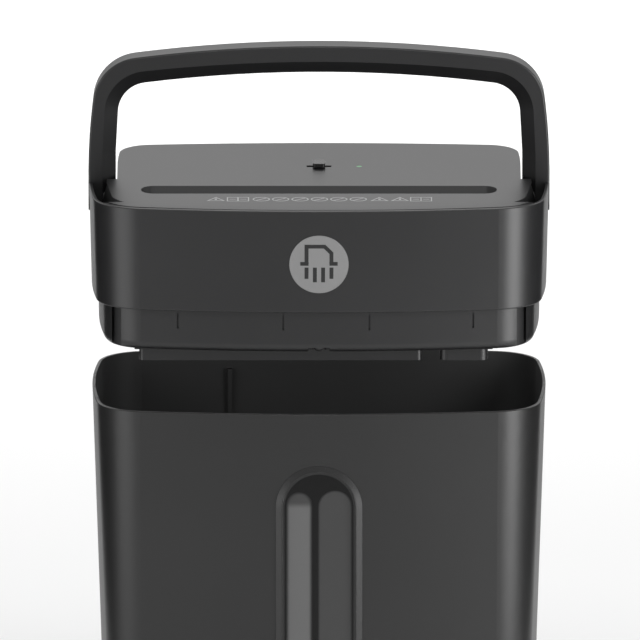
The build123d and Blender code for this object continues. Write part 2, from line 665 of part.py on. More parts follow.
def stripper_comb(y, rear):
    """A bar with one finger between each pair of neighbouring discs."""
    side = 1 if rear else -1
    bar_near = y + side * (DISC_RADIUS + 1.5)
    bar_far = bar_near + side * 2.5
    bar_y = sorted((bar_near, bar_far))
    x_end = CUT_START + DISC_COUNT * DISC_PITCH + 2
    comb = box((CUT_START - 3, x_end), bar_y, (SHAFT_Z - 9, SHAFT_Z + 9))
    finger_thick = DISC_PITCH - DISC_THICK - 1.2
    finger_y = sorted((y + side * (CORE_RADIUS + 0.6), bar_near + side))
    for index in range(DISC_COUNT - 1):
        x = disc_x(index, rear) + DISC_THICK + 0.6
        comb += box((x, x + finger_thick), finger_y, (SHAFT_Z - 4, SHAFT_Z + 4))
    return comb - rod(CUT_START - 10, x_end + 10, y, SHAFT_Z, CORE_RADIUS + 0.5)


def cutter_bushes():
    bushes = []
    for x in (LEFT_PLATE_X, GEAR_PLATE_X):
        for y in (FRONT_Y, REAR_Y):
            ring = across(x, y, SHAFT_Z) * (Circle(BUSH_RADIUS) - Circle(SHAFT_RADIUS + RUNNING))
            bushes.append(extrude(ring, PLATE_THICK))
    return Compound(children=bushes)


# ---- gears --------------------------------------------------------------------------------
def involute(base, radius):
    """The involute's angle at a radius."""
    ratio = max(radius / base, 1.0)
    return sqrt(ratio * ratio - 1) - atan2(sqrt(ratio * ratio - 1), 1)


def gear_face(teeth, module, tooth_at):
    """A spur gear's outline, with one tooth centred on the angle tooth_at."""
    pitch = teeth * module / 2
    base = pitch * cos(PRESSURE_ANGLE)
    tip = pitch + ADDENDUM * module
    root = pitch - DEDENDUM * module
    half_at_pitch = pi / (2 * teeth) - BACKLASH / pitch
    start = max(base, root)
    radii = [start + (tip - start) * k / 4 for k in range(5)]
    lead = involute(base, pitch)
    flank = [(r, half_at_pitch + lead - involute(base, r)) for r in radii]
    if root < base:
        flank.insert(0, (root, flank[0][1]))
    points = []
    for tooth in range(teeth):
        middle = tooth_at + 2 * pi * tooth / teeth
        for r, half in flank:
            points.append((r * cos(middle - half), r * sin(middle - half)))
        for r, half in reversed(flank):
            points.append((r * cos(middle + half), r * sin(middle + half)))
    return make_face(Polyline(*points, close=True))


def spur(stage, place, teeth, module, tooth_at, bore):
    """A gear in one of the stages beside the gear plate."""
    x = GEAR_START + stage * GEAR_STEP
    face = gear_face(teeth, module, tooth_at) - Circle(bore)
    return extrude(across(x, *place) * face, GEAR_WIDTH)


def toward(a, b):
    """The direction from one gear centre to another."""
    return atan2(b[1] - a[1], b[0] - a[0])


def motor_pinion():
    face_at = toward(MOTOR_PLACE, GEAR_1_PLACE)
    return spur(0, MOTOR_PLACE, PINION_TEETH, FINE, face_at, MOTOR_SHAFT_RADIUS)


def first_gear():
    bore = GEAR_AXLE_RADIUS + RUNNING
    gap_at = toward(GEAR_1_PLACE, MOTOR_PLACE) + pi / GEAR_1_TEETH
    large = spur(0, GEAR_1_PLACE, GEAR_1_TEETH, FINE, gap_at, bore)
    small = spur(1, GEAR_1_PLACE, GEAR_1_SMALL, FINE, toward(GEAR_1_PLACE, GEAR_2_PLACE), bore)
    hub_x = GEAR_START + GEAR_WIDTH
    hub = extrude(across(hub_x, *GEAR_1_PLACE) * (Circle(GEAR_HUB) - Circle(bore)), GEAR_STEP - GEAR_WIDTH)
    return large + hub + small


def second_gear():
    bore = GEAR_AXLE_RADIUS + RUNNING
    gap_at = toward(GEAR_2_PLACE, GEAR_1_PLACE) + pi / GEAR_2_TEETH
    large = spur(1, GEAR_2_PLACE, GEAR_2_TEETH, FINE, gap_at, bore)
    small = spur(2, GEAR_2_PLACE, GEAR_2_SMALL, COARSE, toward(GEAR_2_PLACE, REAR_PLACE), bore)
    hub_x = GEAR_START + GEAR_STEP + GEAR_WIDTH
    hub = extrude(across(hub_x, *GEAR_2_PLACE) * (Circle(GEAR_HUB) - Circle(bore)), GEAR_STEP - GEAR_WIDTH)
    return large + hub + small


def final_gear():
    gap_at = toward(REAR_PLACE, GEAR_2_PLACE) + pi / FINAL_TEETH
    return spur(2, REAR_PLACE, FINAL_TEETH, COARSE, gap_at, SHAFT_RADIUS)


def gear_axles():
    start = GEAR_PLATE_X
    one = rod(start, start + PLATE_THICK + 2 * GEAR_STEP + 1, *GEAR_1_PLACE, GEAR_AXLE_RADIUS)
    two = rod(start, start + PLATE_THICK + 3 * GEAR_STEP + 1, *GEAR_2_PLACE, GEAR_AXLE_RADIUS)
    return Compound(children=[one, two])


def sync_gear(y, tooth_at):
    face = gear_face(SYNC_TEETH, SYNC_MODULE, tooth_at) - Circle(SHAFT_RADIUS)
    return extrude(across(SYNC_START, y, SHAFT_Z) * face, SYNC_WIDTH)


# ---- motor and electrics ------------------------------------------------------------------
def motor_can():
    body = rod(MOTOR_LEFT, MOTOR_RIGHT, MOTOR_Y, SHAFT_Z, MOTOR_RADIUS)
    body += rod(MOTOR_RIGHT, GEAR_PLATE_X, MOTOR_Y, SHAFT_Z, NOSE_RADIUS)
    body -= rod(MOTOR_LEFT - 1, MOTOR_RIGHT - 4, MOTOR_Y, SHAFT_Z, MOTOR_RADIUS - CAN_WALL)
    return body - rod(MOTOR_LEFT, GEAR_PLATE_X + 1, MOTOR_Y, SHAFT_Z, MOTOR_SHAFT_RADIUS + RUNNING)


def motor_end_bell():
    body = rod(MOTOR_LEFT, MOTOR_LEFT + 6, MOTOR_Y, SHAFT_Z, MOTOR_RADIUS - CAN_WALL)
    body += rod(MOTOR_LEFT - 4, MOTOR_LEFT, MOTOR_Y, SHAFT_Z, NOSE_RADIUS)
    return body - rod(MOTOR_LEFT - 5, MOTOR_LEFT + 7, MOTOR_Y, SHAFT_Z, MOTOR_SHAFT_RADIUS + RUNNING)


def motor_rotor():
    body = rod(MOTOR_LEFT - 22, GEAR_PLATE_X + PLATE_THICK + 8, MOTOR_Y, SHAFT_Z, MOTOR_SHAFT_RADIUS)
    return body + rod(MOTOR_LEFT + 16, MOTOR_RIGHT - 12, MOTOR_Y, SHAFT_Z, MOTOR_RADIUS - 8)


def cooling_fan():
    x = MOTOR_LEFT - 20
    fan = rod(x, x + 12, MOTOR_Y, SHAFT_Z, 6)
    blade_count = 9
    for index in range(blade_count):
        blade = box((x + 1, x + 11), (MOTOR_Y + 4, MOTOR_Y + 22), (SHAFT_Z - 0.6, SHAFT_Z + 0.6))
        fan += blade.rotate(Axis((x, MOTOR_Y, SHAFT_Z), (1, 0, 0)), 360 * index / blade_count)
    return fan - rod(x - 1, x + 13, MOTOR_Y, SHAFT_Z, MOTOR_SHAFT_RADIUS)


def motor_cradle():
    low = FLOOR_Z + FLOOR
    block = box((MOTOR_LEFT + 12, MOTOR_LEFT + 20), (MOTOR_Y - 22, MOTOR_Y + 22), (low, SHAFT_Z - 8))
    return block - rod(MOTOR_LEFT, MOTOR_LEFT + 40, MOTOR_Y, SHAFT_Z, MOTOR_RADIUS)


def thermal_cutout():
    pad = box((20, 34), (MOTOR_Y - 5, MOTOR_Y + 5), (SHAFT_Z + MOTOR_RADIUS - 1, SHAFT_Z + MOTOR_RADIUS + 5))
    return pad - rod(0, 60, MOTOR_Y, SHAFT_Z, MOTOR_RADIUS)


def control_board():
    board = box(BOARD_X, BOARD_Y, (BOARD_Z, BOARD_Z + BOARD_THICK))
    for x in (BOARD_X[0] + 7, BOARD_X[1] - 4):
        for y in (BOARD_Y[0] + 4, BOARD_Y[1] - 4):
            board += post(x, y, FLOOR_Z + FLOOR, BOARD_Z, 2.5)
    for x, y in SCREW_PLACES:
        board -= post(x, y, FLOOR_Z, DECK_Z, BOSS_RADIUS + 1)
    return board


def board_parts():
    top = BOARD_Z + BOARD_THICK
    relay = box((-100, -88), (0, 20), (top, top + 15))
    transformer = box((-122, -104), (-4, 18), (top, top + 18))
    capacitor = post(-96, 32, top, top + 22, 6)
    terminal = box((-112, -92), (46, 56), (top, top + 9))
    return Compound(children=[relay, transformer, capacitor, terminal])


def paper_sensor():
    """Light gate across the throat: two blocks against the slot's walls."""
    z = (DECK_Z - FUNNEL_DEPTH - 7, DECK_Z - FUNNEL_DEPTH - 1)
    front = box((-5, 5), (SLOT_FRONT - WALL - 5, SLOT_FRONT - WALL), z)
    back = box((-5, 5), (SLOT_FRONT + SLOT_GAP + WALL, SLOT_FRONT + SLOT_GAP + WALL + 5), z)
    return Compound(children=[front, back])


def interlock_switch():
    low = FLOOR_Z + 22
    return box((-8, 8), (PLUNGER_Y - 3.5, PLUNGER_Y + 3.5), (low, low + 10))


def interlock_plunger():
    stem = post(0, PLUNGER_Y, FLOOR_Z + 3, FLOOR_Z + 18, 2.0)
    dome = Pos(0, PLUNGER_Y, FLOOR_Z + 4) * Sphere(PLUNGER_RADIUS)
    flange = post(0, PLUNGER_Y, FLOOR_Z + 3, FLOOR_Z + 5.5, PLUNGER_RADIUS)
    return dome + flange + stem


def plunger_spring():
    radius = 3.0
    low = FLOOR_Z + 8.9
    high = FLOOR_Z + 21.5
    path = Pos(0, PLUNGER_Y, low) * Helix(pitch=(high - low) / 6, height=high - low, radius=radius)
    section = Plane(origin=path @ 0, z_dir=path % 0) * Circle(0.35)
    return sweep(section, path=path)


def mode_slider():
    top = SWITCH_TOP
    knob = box((-4, 4), (SWITCH_Y - 6, SWITCH_Y + 6), (top + 0.6, top + 3.0))
    knob = fillet(knob.edges().filter_by(Axis.Z), 2)
    stem = box((-2, 2), (SWITCH_Y - 1.4, SWITCH_Y + 1.4), (DECK_Z - 9, top + 2))
    return knob + stem


def switch_body():
    body = box((-12, 12), (SWITCH_Y - 7, SWITCH_Y + 7), (DECK_Z - 18, SWITCH_TOP - WALL - 0.3))
    return body - box((-9, 9), (SWITCH_Y - 2, SWITCH_Y + 2), (DECK_Z - 9.5, SWITCH_TOP))


def status_light():
    return post(LIGHT_X, SWITCH_Y, DECK_Z - 10, SWITCH_TOP, LIGHT_RADIUS)


def housing_screws():
    screws = []
    for x, y in SCREW_PLACES:
        head = post(x, y, FLOOR_Z + 2.5, FLOOR_Z + 5, SCREW_RADIUS * 2)
        head -= post(x, y, FLOOR_Z + 2, FLOOR_Z + 4, 1.0)
        screws.append(head + post(x, y, FLOOR_Z + 5, SCREW_LAND + 11, SCREW_RADIUS))
    return Compound(children=screws)


# ---- output -------------------------------------------------------------------------------
MAKERS = {
    "bin_shell": bin_shell,
    "window_bezel": window_bezel,
    "window_pane": window_pane,
    "head_shell": head_shell,
    "deck_cover": deck_cover,
    "lower_casing": lower_casing,
    "exit_skirt": exit_skirt,
    "front_emblem": front_emblem,
    "cord_gland": cord_gland,
    "carry_handle": carry_handle,
    "handle_pins": handle_pins,
    "front_cutter_shaft": lambda: cutter_shaft(FRONT_Y, False),
    "rear_cutter_shaft": lambda: cutter_shaft(REAR_Y, True),
    "front_cutter_discs": lambda: cutter_discs(FRONT_Y, False),
    "rear_cutter_discs": lambda: cutter_discs(REAR_Y, True),
    "left_side_plate": lambda: plate(LEFT_PLATE_X, -16),
    "gear_plate": gear_plate,
    "tie_rods": tie_rods,
    "front_stripper_comb": lambda: stripper_comb(FRONT_Y, False),
    "rear_stripper_comb": lambda: stripper_comb(REAR_Y, True),
    "cutter_bushes": cutter_bushes,
    "motor_pinion": motor_pinion,
    "first_reduction_gear": first_gear,
    "second_reduction_gear": second_gear,
    "final_gear": final_gear,
    "gear_axles": gear_axles,
    "front_sync_gear": lambda: sync_gear(FRONT_Y, 0.0),
    "rear_sync_gear": lambda: sync_gear(REAR_Y, pi + pi / SYNC_TEETH),
    "motor_can": motor_can,
    "motor_end_bell": motor_end_bell,
    "motor_rotor": motor_rotor,
    "cooling_fan": cooling_fan,
    "motor_cradle": motor_cradle,
    "thermal_cutout": thermal_cutout,
    "control_board": control_board,
    "board_parts": board_parts,
    "paper_sensor": paper_sensor,
    "interlock_switch": interlock_switch,
    "interlock_plunger": interlock_plunger,
    "plunger_spring": plunger_spring,
    "mode_slider": mode_slider,
    "switch_body": switch_body,
    "status_light": status_light,
    "housing_screws": housing_screws,
}

os.makedirs("parts", exist_ok=True)
for name, make in MAKERS.items():
    export_step(make(), "parts/" + name + ".step")
    print("wrote", name)
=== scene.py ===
# %% [markdown]
# # A paper shredder, finished around its working frame
# The working model already has every shell, shaft, gear and hinge in its right place. Here it gets its
# looks: the satin black plastic, the polished window, the printed marks and the oiled steel inside.
# Everything is in metres, with the front of the machine towards -Y.

# %% Load the working frame
import math

import bmesh
import bpy
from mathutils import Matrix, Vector


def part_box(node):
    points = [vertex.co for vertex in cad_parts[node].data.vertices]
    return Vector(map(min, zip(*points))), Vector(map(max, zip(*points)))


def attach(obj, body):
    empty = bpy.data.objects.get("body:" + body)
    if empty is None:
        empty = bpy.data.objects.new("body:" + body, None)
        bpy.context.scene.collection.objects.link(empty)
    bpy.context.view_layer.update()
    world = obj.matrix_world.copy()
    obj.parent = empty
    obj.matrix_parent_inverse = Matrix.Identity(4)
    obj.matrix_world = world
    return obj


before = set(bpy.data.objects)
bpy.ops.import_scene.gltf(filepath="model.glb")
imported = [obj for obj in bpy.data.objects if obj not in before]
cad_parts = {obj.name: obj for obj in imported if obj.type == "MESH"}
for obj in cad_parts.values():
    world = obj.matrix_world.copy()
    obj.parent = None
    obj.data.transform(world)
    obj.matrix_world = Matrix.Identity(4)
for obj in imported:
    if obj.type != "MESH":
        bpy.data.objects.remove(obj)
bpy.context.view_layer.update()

MM = 0.001

# %% [markdown]
# ## Where things are
# Places could be typed in as numbers, but then a change to the working model would leave the marks hanging
# in the air. So they come from the boxes of the working parts: the bin gives the rim, the shell the seam and
# the front, and the bezel and the emblem give the window and the badge.

# %% Places read from the frame
bin_low, bin_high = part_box("bin_shell")
shell_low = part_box("head_shell")[0]
deck_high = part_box("deck_cover")[1]
bezel_low, bezel_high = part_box("window_bezel")
emblem_low, emblem_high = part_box("front_emblem")
rim_z = bin_high[2]
front_y = shell_low[1]
print("rim", round(rim_z, 4), "seam", round(shell_low[2], 4), "deck", round(deck_high[2], 4))

# %% [markdown]
# ## The camera
# A long lens far away shows the machine almost without perspective, a little from above. A short lens
# close by would make the bin taper and hide the deck, so the camera stands twenty metres off, with a lens
# long enough to see a field only a little wider than the machine.

# %% Camera
STAND_OFF = 20.0
TILT_DOWN = math.radians(13.2)
FIELD_WIDTH = 0.41424
SENSOR = 36.0
GAP_HEIGHT = 40.6 * MM      # the middle of the view, above the bin's rim
ASIDE = 0.65 * MM           # and to the right of the machine's middle
look_at = Vector((ASIDE, 0.0, rim_z + GAP_HEIGHT))


def make_camera():
    """A camera that looks at the gap between the head and the bin, slightly from above."""
    data = bpy.data.cameras.new("studio_camera")
    data.sensor_width = SENSOR
    data.lens = STAND_OFF / FIELD_WIDTH * SENSOR
    data.clip_start = 0.5
    data.clip_end = 60.0
    camera = bpy.data.objects.new("studio_camera", data)
    bpy.context.scene.collection.objects.link(camera)
    back = Vector((0.0, -math.cos(TILT_DOWN), math.sin(TILT_DOWN)))
    camera.location = look_at + back * STAND_OFF
    camera.rotation_euler = (-back).to_track_quat("-Z", "Y").to_euler()
    bpy.context.scene.camera = camera
    return camera


camera = make_camera()
print("lens", round(camera.data.lens, 1), "mm")

# %% [markdown]
# ## Shader maths as plain expressions
# A material is a small network of nodes. Wiring it by hand is slow to read, so a socket is wrapped in a
# class that knows plus, minus, times and power: `1 - mask` then adds the Math node by itself. Every
# other node comes from one method, `node`, which takes its type, its settings and its sockets.

# %% Wires and finishes
class Wire:
    """A socket that can be used in sums. Each sum adds one Math node to the finish."""

    def __init__(self, finish, socket):
        self.finish = finish
        self.socket = socket

    def _sum(self, operation, first, second):
        return self.finish.node("ShaderNodeMath", {"operation": operation}, {0: first, 1: second})

    def __add__(self, other):
        return self._sum("ADD", self, other)

    def __radd__(self, other):
        return self._sum("ADD", other, self)

    def __sub__(self, other):
        return self._sum("SUBTRACT", self, other)

    def __rsub__(self, other):
        return self._sum("SUBTRACT", other, self)

    def __mul__(self, other):
        return self._sum("MULTIPLY", self, other)

    def __rmul__(self, other):
        return self._sum("MULTIPLY", other, self)

    def __pow__(self, other):
        return self._sum("POWER", self, other)


class Finish:
    """One material: a Principled shader and the nodes that feed it."""

    def __init__(self, name):
        self.material = bpy.data.materials.new(name)
        self.material.use_nodes = True
        self.tree = self.material.node_tree
        self.shader = self.tree.nodes["Principled BSDF"]

    def node(self, kind, settings=None, sockets=None, out=0):
        """Adds a node, sets it up, feeds its sockets and returns one output as a Wire."""
        made = self.tree.nodes.new(kind)
        for key, value in (settings or {}).items():
            setattr(made, key, value)
        for key, value in (sockets or {}).items():
            self.feed(made.inputs[key], value)
        return Wire(self, made.outputs[out])

    def feed(self, socket, value):
        """Links a Wire to a socket, or sets the socket to a plain value."""
        if isinstance(value, Wire):
            self.tree.links.new(value.socket, socket)
        else:
            socket.default_value = value

    def set(self, **values):
        """Feeds the Principled shader, with underscores for the spaces in its socket names."""
        for key, value in values.items():
            self.feed(self.shader.inputs[key.replace("_", " ")], value)

    def here(self):
        """The point on the piece, in metres."""
        return self.node("ShaderNodeTexCoord", out=3)

    def stretched(self, scale):
        """The point with each axis scaled, so that noise at it comes out in streaks."""
        return self.node("ShaderNodeVectorMath", {"operation": "MULTIPLY"}, {0: self.here(), 1: scale})

    def noise(self, scale, detail=3.0, rough=0.55, at=None):
        """Cloudy noise from 0 to 1, with about `scale` clouds in a metre."""
        where = at or self.here()
        return self.node("ShaderNodeTexNoise", {"noise_dimensions": "3D"},
                         {"Vector": where, "Scale": scale, "Detail": detail, "Roughness": rough})

    def blend(self, mask, first, second):
        """A colour between two colours."""
        return self.node("ShaderNodeMix", {"data_type": "RGBA"}, {0: mask, 6: first, 7: second}, out=2)

    def bump(self, height, strength, depth):
        """A bumpy Normal from a height, `depth` metres deep at full strength."""
        return self.node("ShaderNodeBump", None,
                         {"Height": height, "Strength": strength, "Distance": depth})


def grey(level, tint=(1.0, 1.0, 1.0)):
    """A colour from one level, with an optional slight tint."""
    return (level * tint[0], level * tint[1], level * tint[2], 1.0)


print("shader helpers ready")

# %% [markdown]
# ## Satin black plastic
# The shells are injection moulded in a black plastic, in a mould whose steel was etched to a very fine
# grain. The grain scatters reflections a little, so the plastic looks satin: nearly black where nothing is
# reflected, and clearly grey where it faces a light at a low angle. A tiny bump stands for the grain, and
# slow clouds in the roughness stand for the way a moulding cools unevenly. The bin is the same plastic, but
# its inner walls are painted paler and made rougher, as painted light inside the bin. A dot product of each
# face's direction with its place tells the inner walls from the outer ones.

# %% Moulded plastic
ETCH_SCALE = 2600.0             # grains in a metre
ETCH_DEPTH = 0.06 * MM
CLOUD_SCALE = 9.0
FLOW_LINES = (6.0, 6.0, 45.0)
COOL_TINT = (1.0, 1.0, 1.04)
PLASTIC_IOR = 1.46


def etched(skin):
    """The mould's fine grain, as noise."""
    return skin.noise(ETCH_SCALE, detail=2.0, rough=0.6)


def moulded(name, level, rough, grain=0.12):
    """Etched moulded plastic: its depth of black, its roughness and the strength of its grain."""
    skin = Finish(name)
    clouds = skin.noise(CLOUD_SCALE, detail=2.0)
    fine = etched(skin)
    flow = skin.noise(1.0, detail=2.0, at=skin.stretched(FLOW_LINES))
    skin.set(
        Base_Color=skin.blend(clouds, grey(level * 0.8, COOL_TINT), grey(level * 1.2, COOL_TINT)),
        Roughness=rough - 0.03 + clouds * 0.04 + fine * 0.03 + flow * 0.01,
        Normal=skin.bump(fine, grain, ETCH_DEPTH),
        IOR=PLASTIC_IOR,
    )
    return skin.material


def bin_with_painted_inner_light(name):
    """The bin's plastic. Faces that look inwards are painted paler, as painted light inside the bin."""
    skin = Finish(name)
    clouds = skin.noise(CLOUD_SCALE, detail=2.0)
    fine = etched(skin)
    outward = skin.stretched((1.0, 1.0, 0.0))
    facing = skin.node("ShaderNodeNewGeometry", out=1)
    along = skin.node("ShaderNodeVectorMath", {"operation": "DOT_PRODUCT"}, {0: outward, 1: facing}, out=1)
    inside = skin.node("ShaderNodeMath", {"operation": "LESS_THAN"}, {0: along, 1: 0.0})
    plain_black = skin.blend(clouds, grey(0.008), grey(0.012))
    # Painted light: faces that look inwards get a paler colour, standing in for light inside the bin.
    painted_inner_light = skin.blend(clouds, grey(0.028), grey(0.05))
    skin.set(
        Base_Color=skin.blend(inside, plain_black, painted_inner_light),
        Roughness=0.35 + clouds * 0.04 + fine * 0.03 + inside * 0.2,
        Normal=skin.bump(fine, 0.12, ETCH_DEPTH),
        IOR=PLASTIC_IOR,
    )
    return skin.material


shell_black = moulded("satin_shell_black", 0.010, 0.36)
bin_black = bin_with_painted_inner_light("satin_bin_black")
handle_black = moulded("satin_handle_black", 0.009, 0.36)
casing_black = moulded("satin_casing_black", 0.009, 0.38)
trim_black = moulded("trim_black", 0.014, 0.45, grain=0.2)
print("satin plastics:", [m.name for m in (shell_black, bin_black, handle_black, casing_black, trim_black)])

# %% [markdown]
# ## Polished plastic and the smoked pane
# The window's bezel and pane come out of a polished mould, so they mirror the studio sharply. Real gloss
# plastic is never perfect: it has a faint orange peel and fine wiping marks, which bend and dull the
# reflections a little. The pane's colour also carries two pale upright bars with round tops: they are
# painted reflections of the studio's light, the left one brighter lower down. Each bar is a mask made from
# the distance to a line.

# %% Gloss black and smoked pane
PEEL_SCALE = 160.0
PEEL_DEPTH = 0.1 * MM
WIPE_LINES = (900.0, 900.0, 60.0)
WIPE_DEPTH = 0.02 * MM


def wiped(skin):
    """Fine upright wiping marks, as noise."""
    return skin.noise(1.0, detail=4.0, at=skin.stretched(WIPE_LINES))


def polished(name, level, rough):
    """Gloss plastic with orange peel and faint wiping marks."""
    skin = Finish(name)
    waves = skin.noise(PEEL_SCALE, detail=1.0)
    skin.set(
        Base_Color=skin.blend(waves, grey(level * 0.85), grey(level * 1.15)),
        Roughness=rough + wiped(skin) * 0.05,
        Normal=skin.bump(waves, 0.05, PEEL_DEPTH),
        IOR=1.5,
    )
    return skin.material


def soft_step(skin, value, low, high):
    """0 below low, 1 above high, and smooth between them."""
    return skin.node("ShaderNodeMapRange", {"interpolation_type": "SMOOTHSTEP"},
                     {0: value, 1: low, 2: high, 3: 0.0, 4: 1.0})


# The pale bars are painted reflections of the studio's light, laid into the pane's base colour.
def painted_reflection_bar(skin, x, z, top, centre, half, drop, soft):
    """A mask for one painted reflection: an upright pale bar whose round top is `drop` below the pane's top.
    """
    over = skin.node("ShaderNodeMath", {"operation": "MAXIMUM"}, {0: z - (top - drop - half), 1: 0.0})
    aside = x - centre
    reach = (aside * aside + over * over) ** 0.5
    return 1.0 - soft_step(skin, reach, half - soft, half)


LEFT_REFLECTION_BAR = {"centre": -12.8 * MM, "half": 8.8 * MM, "drop": 11.5 * MM, "soft": 3.0 * MM}
RIGHT_REFLECTION_BAR = {"centre": 10.4 * MM, "half": 11.5 * MM, "drop": 10.5 * MM, "soft": 2.2 * MM}
REFLECTION_FULL_FROM = 23.5 * MM         # below the pane's top, the left painted reflection is fully bright
REFLECTION_DIM_ABOVE = 18.5 * MM


def pane_with_painted_reflections(name, top):
    """Smoked gloss plastic with two pale bars of painted reflection, the left one brighter lower down."""
    skin = Finish(name)
    x = skin.node("ShaderNodeSeparateXYZ", None, {0: skin.here()})
    z = skin.node("ShaderNodeSeparateXYZ", None, {0: skin.here()}, out=2)
    left = painted_reflection_bar(skin, x, z, top, **LEFT_REFLECTION_BAR)
    right = painted_reflection_bar(skin, x, z, top, **RIGHT_REFLECTION_BAR)
    lower = 1.0 - soft_step(skin, z, top - REFLECTION_FULL_FROM, top - REFLECTION_DIM_ABOVE)
    # Painted reflection: the two pale bars brighten the pane's base colour, the left one more lower down.
    pale_reflection_paint = left * (0.035 + lower * 0.05) + right * 0.034
    wipes = wiped(skin)
    skin.set(
        Base_Color=skin.blend(pale_reflection_paint, grey(0.002), grey(1.0)),
        Roughness=0.22 + wipes * 0.05,
        Normal=skin.bump(wipes, 0.01, WIPE_DEPTH),
        IOR=1.32,
    )
    return skin.material


pane_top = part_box("window_pane")[1][2]
bezel_gloss = polished("bezel_gloss_black", 0.008, 0.24)
pane_gloss = pane_with_painted_reflections("smoked_pane_gloss", pane_top)
print("gloss finishes:", bezel_gloss.name, pane_gloss.name)

# %% [markdown]
# ## Printed grey and its raised marks
# The round badge is a thin disc let into the shell and printed in a flat silver grey, and the deck's marks
# are printed in a paler one. One flat colour would look like paper, because ink is matt and slightly uneven,
# with a fine speckle where the screen's threads were. So two noises, one fine and one slow, are mixed.

# %% Inks
def ink(name, level, rough=0.55):
    """Screen-printed ink with a fine speckle."""
    skin = Finish(name)
    speckle = skin.noise(3200.0, detail=1.0)
    clouds = skin.noise(60.0, detail=2.0)
    mix = speckle * 0.5 + clouds * 0.5
    skin.set(
        Base_Color=skin.blend(mix, grey(level * 0.94), grey(level * 1.06)),
        Roughness=rough + speckle * 0.08,
        Normal=skin.bump(speckle, 0.1, 0.03 * MM),
        IOR=1.4,
    )
    return skin.material


badge_grey = ink("badge_silver_ink", 0.152)
mark_grey = ink("deck_mark_ink", 0.36, rough=0.4)
print("inks:", badge_grey.name, mark_grey.name)

# %% [markdown]
# ## Metals inside the head
# The cutters are ground and oiled steel, the plates are zinc plated, the motor is a drawn can and the
# bushes are sintered bronze. Grinding and drawing leave fine lines along one direction. Carving them into
# the mesh would take millions of faces, so noise is stretched along X, the way the shafts run, and feeds the
# roughness and a very shallow bump.

# %% Metals
def metal(name, colour, rough, lines=(60.0, 1400.0, 1400.0), spots=0.0):
    """Bare metal with fine directional lines and a little staining."""
    skin = Finish(name)
    scratches = skin.noise(1.0, detail=4.0, at=skin.stretched(lines))
    stain = skin.noise(45.0)
    dull = (colour[0] * 0.6, colour[1] * 0.58, colour[2] * 0.55, 1.0)
    skin.set(
        Base_Color=skin.blend(stain * 0.6, (*colour, 1.0), dull),
        Roughness=rough + scratches * 0.16 + stain * spots,
        Normal=skin.bump(scratches, 0.18, 0.05 * MM),
        Metallic=1.0,
    )
    return skin.material


tool_steel = metal("oiled_tool_steel", (0.42, 0.42, 0.43), 0.22)
plated_steel = metal("zinc_plated_steel", (0.62, 0.62, 0.58), 0.3, lines=(240.0, 240.0, 240.0), spots=0.1)
motor_steel = metal("drawn_motor_steel", (0.36, 0.36, 0.37), 0.34)
bronze = metal("sintered_bronze", (0.6, 0.4, 0.2), 0.4, lines=(900.0, 900.0, 900.0))
print("metals:", [m.name for m in (tool_steel, plated_steel, motor_steel, bronze)])

# %% [markdown]
# ## Nylon, circuit board, rubber and the light pipe
# Gears are natural nylon, milky and a little waxy. The board is a green laminate with faint copper tracks
# under its mask. The gland is soft rubber, and the status light is a frosted green rod. Nylon and frosted
# rods let a little light in, which costs render time to follow. At this size a pale cloudy colour and a
# soft roughness give the same look, so that is what is used.

# %% Small part finishes
def nylon(name, colour, rough=0.42):
    """Waxy nylon with slow milky clouds."""
    skin = Finish(name)
    clouds = skin.noise(70.0)
    pale = (colour[0] * 1.08, colour[1] * 1.08, colour[2] * 1.05, 1.0)
    skin.set(
        Base_Color=skin.blend(clouds, (*colour, 1.0), pale),
        Roughness=rough + clouds * 0.1,
        Normal=skin.bump(clouds, 0.08, 0.1 * MM),
    )
    return skin.material


def laminate(name):
    """Green board: a grid of tracks shows faintly through the mask."""
    skin = Finish(name)
    tracks = skin.node("ShaderNodeTexBrick", {"offset": 0.5}, {"Vector": skin.here(), "Scale": 120.0},
                       out=1)
    grain = skin.noise(900.0)
    skin.set(
        Base_Color=skin.blend(tracks, (0.012, 0.09, 0.03, 1.0), (0.03, 0.2, 0.07, 1.0)),
        Roughness=0.28 + grain * 0.1,
        Normal=skin.bump(tracks, 0.25, 0.05 * MM),
    )
    return skin.material


def rubber(name):
    """Matt rubber with fine pores."""
    skin = Finish(name)
    pores = skin.noise(1500.0)
    skin.set(
        Base_Color=skin.blend(pores, grey(0.012), grey(0.02)),
        Roughness=0.68 + pores * 0.12,
        Normal=skin.bump(pores, 0.3, 0.1 * MM),
    )
    return skin.material


def frosted(name, colour):
    """A frosted rod, with painted shade in the valleys of the frost."""
    skin = Finish(name)
    frost = skin.noise(1800.0)
    # Painted shade: the frost noise darkens the colour as well as raising the bump.
    painted_frost_shade = (colour[0] * 0.7, colour[1] * 0.8, colour[2] * 0.7, 1.0)
    skin.set(
        Base_Color=skin.blend(frost, (*colour, 1.0), painted_frost_shade),
        Roughness=0.4 + frost * 0.15,
        Normal=skin.bump(frost, 0.2, 0.05 * MM),
    )
    return skin.material


milky_nylon = nylon("milky_nylon", (0.72, 0.69, 0.6))
black_nylon = nylon("black_nylon", (0.02, 0.02, 0.021), rough=0.5)
relay_blue = nylon("relay_blue", (0.03, 0.07, 0.2), rough=0.3)
green_board = laminate("green_laminate")
soft_rubber = rubber("soft_rubber")
light_green = frosted("light_pipe_green", (0.16, 0.4, 0.2))
print("small finishes ready")

# %% [markdown]
# ## Each working part gets its finish
# The parts could be modelled again with finer detail, but the working ones already have their true shapes
# and their rounded edges. So only what is in their material slots changes, and the looks and the mechanism
# can't drift apart.

